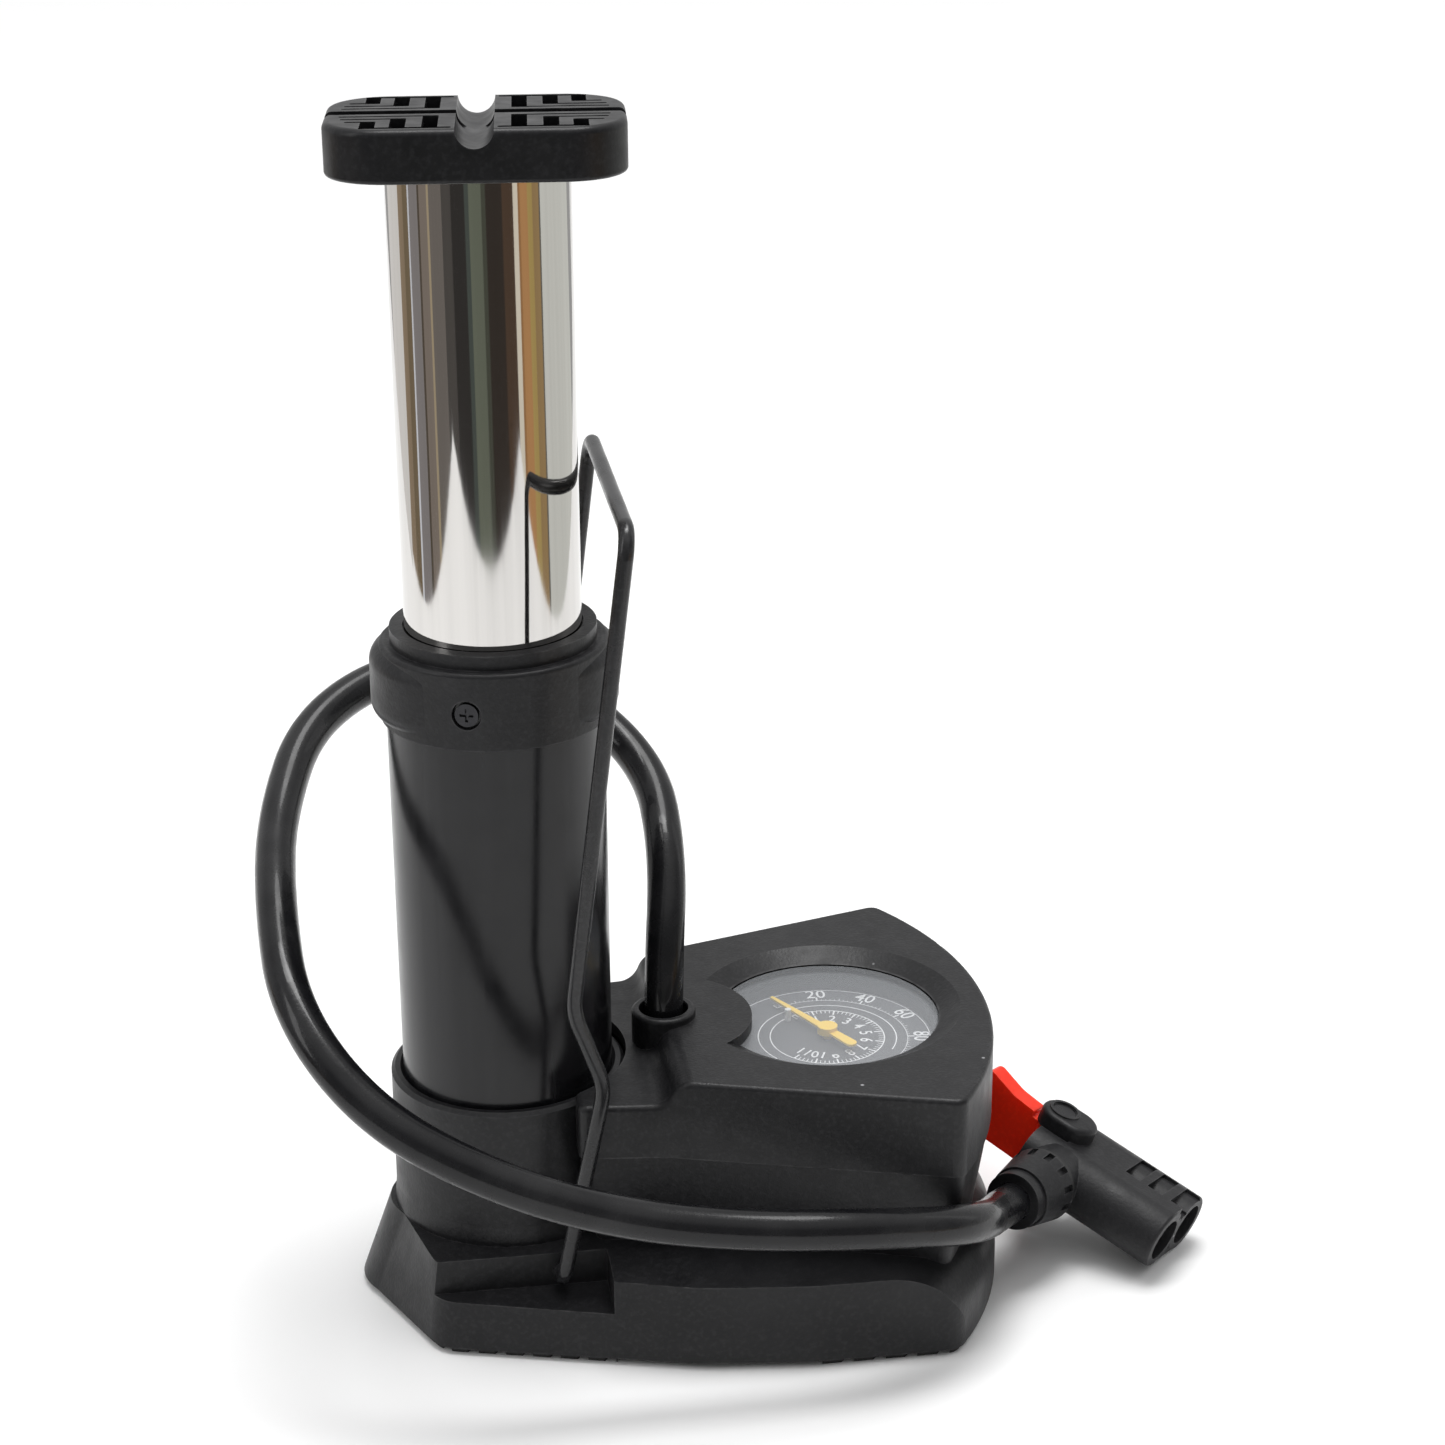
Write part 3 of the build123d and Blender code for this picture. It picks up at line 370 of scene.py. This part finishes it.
def return_spring():
    """The conical coil from the end cap up to the plate under the piston."""
    low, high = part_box("return_spring")
    wire_r, wide_r, narrow_r, turns = 0.0011, 0.0186, 0.0094, 4
    steps = 36 * turns
    coil = bpy.data.curves.new("spring_coil", "CURVE")
    coil.dimensions = "3D"
    coil.bevel_depth = wire_r
    coil.bevel_resolution = 4
    coil.use_fill_caps = True
    wound = coil.splines.new("POLY")
    wound.points.add(steps)
    for i, point in enumerate(wound.points):
        share = i / steps
        radius = wide_r + (narrow_r - wide_r) * share
        angle = 2 * math.pi * turns * share
        height = low.z + wire_r + (high.z - low.z - 2 * wire_r) * share
        point.co = (AXIS.x + radius * math.cos(angle), AXIS.y + radius * math.sin(angle), height, 1)
    shaper = bpy.data.objects.new("spring_coil", coil)
    scene.collection.objects.link(shaper)
    bpy.context.view_layer.update()
    mesh = bpy.data.meshes.new_from_object(shaper)
    bpy.data.objects.remove(shaper)
    mesh.polygons.foreach_set("use_smooth", [True] * len(mesh.polygons))
    spring = piece("coil_spring", mesh, steel, "base")
    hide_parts("return_spring")
    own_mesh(spring)


return_spring()


# The studio
def plain(name, colour, emits=False):
    """A plain surface for the studio: matt, or giving off its colour as light."""
    material = bpy.data.materials.new(name)
    material.use_nodes = True
    shader = material.node_tree.nodes["Principled BSDF"]
    shader.inputs["Base Color"].default_value = (*colour, 1)
    shader.inputs["Roughness"].default_value = 0.85
    if emits:
        shader.inputs["Base Color"].default_value = (0, 0, 0, 1)
        shader.inputs["Specular IOR Level"].default_value = 0
        shader.inputs["Emission Color"].default_value = (*colour, 1)
        shader.inputs["Emission Strength"].default_value = 1
    return material


def flat_shape(name, corners, material, mirrored_only=False):
    """A flat piece of the studio. One that is mirrored_only shows in glossy reflections alone."""
    data = bpy.data.meshes.new(name)
    data.from_pydata(corners, [], [range(len(corners))])
    data.materials.append(material)
    thing = bpy.data.objects.new(name, data)
    scene.collection.objects.link(thing)
    if mirrored_only:
        thing.visible_camera = thing.visible_diffuse = False
        thing.visible_shadow = thing.visible_transmission = False
    return thing


FLOOR = 4                                 # half its side, in metres
flat_shape("floor", [(-FLOOR, -FLOOR, 0), (FLOOR, -FLOOR, 0), (FLOOR, FLOOR, 0), (-FLOOR, FLOOR, 0)],
           plain("floor_white", (0.93, 0.93, 0.93)))

TABLE_FRONT, TABLE_LEFT, TABLE_RIGHT = 0.52, 0.47, 0.45   # edges of the white table round the pump
FACING = -93.7                            # towards the camera, in degrees from +X
TABLE_MOST = 3.0                          # and the furthest that it reaches in any direction
ALMOST_SIDEWAYS = 0.02                    # a sine or cosine too small to divide by
ROOM_FAR = 3.4                            # how far the room reaches
ROOM_HEIGHT = 0.002                       # its cards lie just over the floor


def table_edge(turn):
    """How far the table reaches from the pump, that many degrees from the camera's side."""
    angle = math.radians(turn)
    ends = [TABLE_MOST]
    if math.cos(angle) > ALMOST_SIDEWAYS:
        ends.append(TABLE_FRONT / math.cos(angle))
    if abs(math.sin(angle)) > ALMOST_SIDEWAYS:
        ends.append((TABLE_RIGHT if turn > 0 else TABLE_LEFT) / abs(math.sin(angle)))
    return min(ends)


def room(name, shade, start, end):
    """Part of the room beyond the table, which only reflections show."""
    steps = 12
    turns = [start + (end - start) * i / steps for i in range(steps + 1)]
    rim = [(t, table_edge(t)) for t in turns] + [(t, ROOM_FAR) for t in reversed(turns)]
    corners = [(AXIS.x + r * math.cos(math.radians(FACING + t)),
                AXIS.y + r * math.sin(math.radians(FACING + t)), ROOM_HEIGHT) for t, r in rim]
    return flat_shape(name, corners, plain(name, shade, True), True)


ROOM_START = -116
ROOM = (                                  # what each card is, its colour, and the turn where it ends
    ("far_left", (0.34, 0.26, 0.18), -106), ("left_door", (0.22, 0.17, 0.11), -97),
    ("left_window", (0.78, 0.80, 0.86), -94), ("left_wall", (0.29, 0.27, 0.27), -80),
    ("left_frame", (0.11, 0.09, 0.07), -77), ("left_shelf", (0.26, 0.22, 0.19), -66),
    ("left_lamp", (0.46, 0.38, 0.26), -63), ("left_chest", (0.20, 0.18, 0.165), -46),
    ("near_left", (0.095, 0.088, 0.082), -34), ("near_dark", (0.045, 0.042, 0.040), -17),
    ("curtain_fold", (0.085, 0.10, 0.09), -12), ("curtain", (0.17, 0.188, 0.145), 3),
    ("curtain_edge", (0.085, 0.09, 0.07), 8), ("door", (0.050, 0.041, 0.035), 28),
    ("door_frame", (0.10, 0.065, 0.045), 42), ("pale_wall", (0.86, 0.79, 0.66), 48),
    ("wood_dark", (0.40, 0.21, 0.09), 51), ("wood", (0.56, 0.30, 0.13), 61),
    ("wood_light", (0.52, 0.38, 0.14), 68),
    ("boards", (0.40, 0.27, 0.13), 78), ("skirting", (0.16, 0.15, 0.13), 80),
    ("right_wall", (0.76, 0.77, 0.73), 138), ("right_gap", (0.42, 0.42, 0.42), 150),
    ("back_wall", (0.90, 0.90, 0.89), 202), ("left_gap", (0.42, 0.42, 0.42), 214),
    ("left_side", (0.84, 0.82, 0.80), 244))
start = ROOM_START
for name, shade, end in ROOM:
    room("room_" + name, shade, start, end)
    start = end


def soft_light(name, place, aim, size, power):
    """A rectangular lamp that faces the point aim."""
    data = bpy.data.lights.new(name, "AREA")
    data.shape = "RECTANGLE"
    data.size, data.size_y = size
    data.energy = power
    lamp = bpy.data.objects.new(name, data)
    lamp.location = place
    lamp.rotation_euler = (Vector(aim) - Vector(place)).to_track_quat("-Z", "Y").to_euler()
    scene.collection.objects.link(lamp)


soft_light("top_light", (0.0, 0.0, 1.3), (0, 0, 0.1), (0.7, 0.22), 5)
soft_light("left_light", (-1.3, -0.4, 0.8), (-0.03, 0, 0.12), (0.3, 1.0), 3.2)
soft_light("right_light", (1.4, 0.3, 0.8), (0, 0, 0.1), (0.3, 1.0), 0.6)
sky = bpy.data.lights.new("sky_light", "SUN")
sky.energy = 1.0
sky.angle = math.radians(26)
sky_lamp = bpy.data.objects.new("sky_light", sky)
sky_lamp.rotation_euler = (math.radians(-12), math.radians(8), 0)
scene.collection.objects.link(sky_lamp)


def studio_world():
    """White above and behind the pump, a dim room in front of it, and a pale backdrop for the camera."""
    world = bpy.data.worlds.new("studio")
    world.use_nodes = True
    tree = world.node_tree

    def add(kind, **settings):
        node = tree.nodes.new("ShaderNode" + kind)
        for key, value in settings.items():
            setattr(node, key, value)
        return node

    def ranged(value, low, high, dim, bright):
        node = add("MapRange", interpolation_type="SMOOTHSTEP")
        for key, number in (("From Min", low), ("From Max", high), ("To Min", dim), ("To Max", bright)):
            node.inputs[key].default_value = number
        tree.links.new(value, node.inputs["Value"])
        return node.outputs[0]

    parts = add("SeparateXYZ")
    tree.links.new(add("TexCoord").outputs["Generated"], parts.inputs[0])
    lit = add("Math", operation="MAXIMUM")
    tree.links.new(ranged(parts.outputs["Y"], -0.35, 0.35, 0.30, 0.68), lit.inputs[0])
    tree.links.new(ranged(parts.outputs["Z"], 0.20, 0.95, 0.0, 1.0), lit.inputs[1])
    shown = add("Mix")
    tree.links.new(add("LightPath").outputs["Is Camera Ray"], shown.inputs["Factor"])
    tree.links.new(lit.outputs[0], shown.inputs["A"])
    shown.inputs["B"].default_value = 1.0
    tree.links.new(shown.outputs["Result"], tree.nodes["Background"].inputs["Strength"])
    tree.nodes["Background"].inputs["Color"].default_value = (1, 1, 1, 1)
    return world


scene.world = studio_world()

# The camera
CAMERA_AT = Vector((-0.0734, -0.5745, 0.3519))
LOOKS_AT = Vector((0.00945, -0.0067, 0.1279))
ROLL = math.radians(-0.30)
lens_data = bpy.data.cameras.new("camera")
lens_data.sensor_width = 36
lens_data.lens = 74.86
lens_data.clip_start = 0.01
camera = bpy.data.objects.new("camera", lens_data)
back = (CAMERA_AT - LOOKS_AT).normalized()
right = Vector((0, 0, 1)).cross(back).normalized()
turn = Matrix.Rotation(ROLL, 3, back)
right = turn @ right
up = back.cross(right)
camera.matrix_world = Matrix.Translation(CAMERA_AT) @ Matrix((right, up, back)).transposed().to_4x4()
scene.collection.objects.link(camera)
scene.camera = camera
